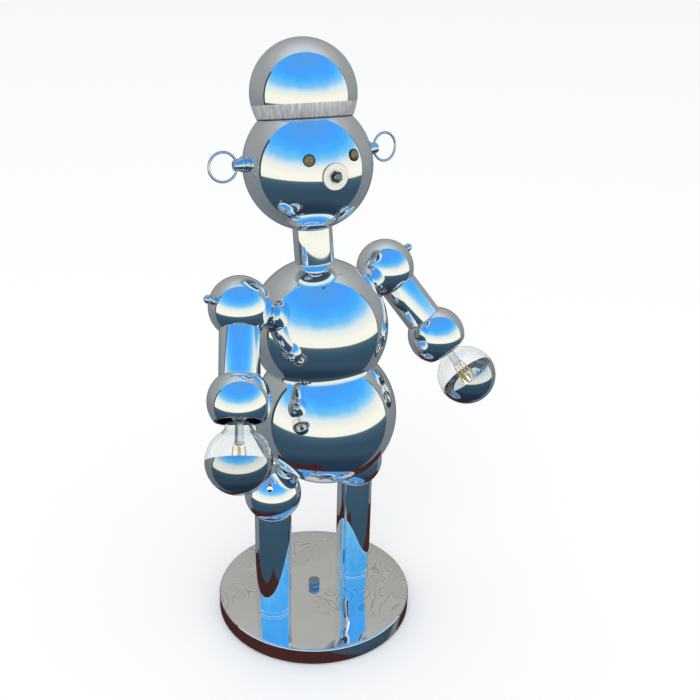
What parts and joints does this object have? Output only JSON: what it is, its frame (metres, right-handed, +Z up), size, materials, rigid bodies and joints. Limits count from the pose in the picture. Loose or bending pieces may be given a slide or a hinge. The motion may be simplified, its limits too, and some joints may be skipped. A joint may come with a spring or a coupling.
{
  "type": "robot shaped desk lamp",
  "caption": "Chrome desk lamp built from hollow balls and tubes as a standing figure, with swinging arms that hold mirror bowl bulbs, a turning head and a round base.",
  "frame": {"origin": "centre of the base's underside, on the table", "axes": "+Z up through the base, -Y the way the figure faces, +X to the figure's left"},
  "size_m": [0.3454, 0.212, 0.6067],
  "materials": {
    "polished_chrome": "mirror polished plate",
    "plain_steel": "zinc plated",
    "dark_steel": "dark plated",
    "cast_weight": "rough cast",
    "felt": "black felt",
    "bush_rubber": "matte",
    "switch_plastic": "moulded",
    "amber_glass": "olive amber jewel",
    "socket_ceramic": "glazed",
    "lamp_brass": "nickelled brass",
    "clear_glass": "clear",
    "silvering": "mirror bowl",
    "filament_coat": "phosphor coated"
  },
  "bodies": {
    "stand": {"base_pan": "polished_chrome", "base_weight": "cast_weight", "base_felt": "felt", "cord_bush": "bush_rubber", "base_switch_body": "plain_steel", "leg_tube_right": "polished_chrome", "leg_tube_left": "polished_chrome", "hip_ball_right": "polished_chrome", "hip_ball_left": "polished_chrome", "leg_pipes": "plain_steel", "leg_nuts": "plain_steel", "hip_bolts": "plain_steel", "hip_bolt_nuts": "plain_steel", "belly_shell": "polished_chrome", "chest_shell": "polished_chrome", "neck_tube": "polished_chrome", "spine_pipe": "plain_steel", "spine_nuts": "plain_steel", "shoulder_bolts": "plain_steel", "shoulder_nuts": "plain_steel", "shoulder_finials": "polished_chrome"},
    "head": {"head_shell": "polished_chrome", "cap_shell": "polished_chrome", "cap_stud": "plain_steel", "cap_nut": "plain_steel", "eye_rims": "dark_steel", "eye_jewels": "amber_glass", "nose_plate": "polished_chrome", "nose_nut": "dark_steel", "nose_switch_body": "switch_plastic", "ear_knob_right": "polished_chrome", "ear_knob_left": "polished_chrome", "ear_nuts": "plain_steel"},
    "nose_button": {"nose_plunger": "plain_steel"},
    "ring_right": {"ear_ring_right": "polished_chrome"},
    "ring_left": {"ear_ring_left": "polished_chrome"},
    "base_knob": {"base_switch_knob": "polished_chrome"},
    "arm_right": {"shoulder_ball_right": "polished_chrome", "arm_tube_right": "polished_chrome", "hand_ball_right": "polished_chrome", "arm_pipe_right": "plain_steel", "arm_nut_right": "plain_steel", "lamp_socket_right": "socket_ceramic", "bulb_screw_cap_right": "lamp_brass", "bulb_glass_right": "clear_glass", "bulb_silver_right": "silvering", "bulb_stem_right": "clear_glass", "bulb_filaments_right": "filament_coat"},
    "arm_left": {"shoulder_ball_left": "polished_chrome", "arm_tube_left": "polished_chrome", "hand_ball_left": "polished_chrome", "arm_pipe_left": "plain_steel", "arm_nut_left": "plain_steel", "lamp_socket_left": "socket_ceramic", "bulb_screw_cap_left": "lamp_brass", "bulb_glass_left": "clear_glass", "bulb_silver_left": "silvering", "bulb_stem_left": "clear_glass", "bulb_filaments_left": "filament_coat"}
  },
  "joints": [
    {"name": "head_turn", "type": "hinge", "parent": "stand", "child": "head", "pos_m": [0, 0.0163, 0.49375], "axis": [0, 0.1253, 0.9921], "range_deg": [-75, 100]},
    {"name": "arm_swing_right", "type": "hinge", "parent": "stand", "child": "arm_right", "pos_m": [-0.08874, 0.00159, 0.37731], "axis": [-0.9092, 0.0522, 0.413], "range_deg": [-65, 95]},
    {"name": "arm_swing_left", "type": "hinge", "parent": "stand", "child": "arm_left", "pos_m": [0.08874, 0.00159, 0.37731], "axis": [-0.9092, -0.0522, -0.413], "range_deg": [-65, 95]},
    {"name": "nose_press", "type": "slide", "parent": "head", "child": "nose_button", "axis": [0.2416, 0.9679, -0.0695], "range_m": [0, 0.003], "stiffness_N_per_m": 400, "springref_m": -0.002},
    {"name": "ring_swing_right", "type": "hinge", "parent": "head", "child": "ring_right", "pos_m": [-0.06717, 0.03387, 0.49919], "axis": [0, 0.1253, 0.9921], "range_deg": [-60, 60]},
    {"name": "ring_swing_left", "type": "hinge", "parent": "head", "child": "ring_left", "pos_m": [0.06717, 0.00064, 0.50339], "axis": [0, 0.1253, 0.9921], "range_deg": [-72, 48]},
    {"name": "base_knob_turn", "type": "hinge", "parent": "stand", "child": "base_knob", "pos_m": [0, 0, 0.02], "axis": [0, 0, 1], "range_deg": [0, 300]}
  ]
}
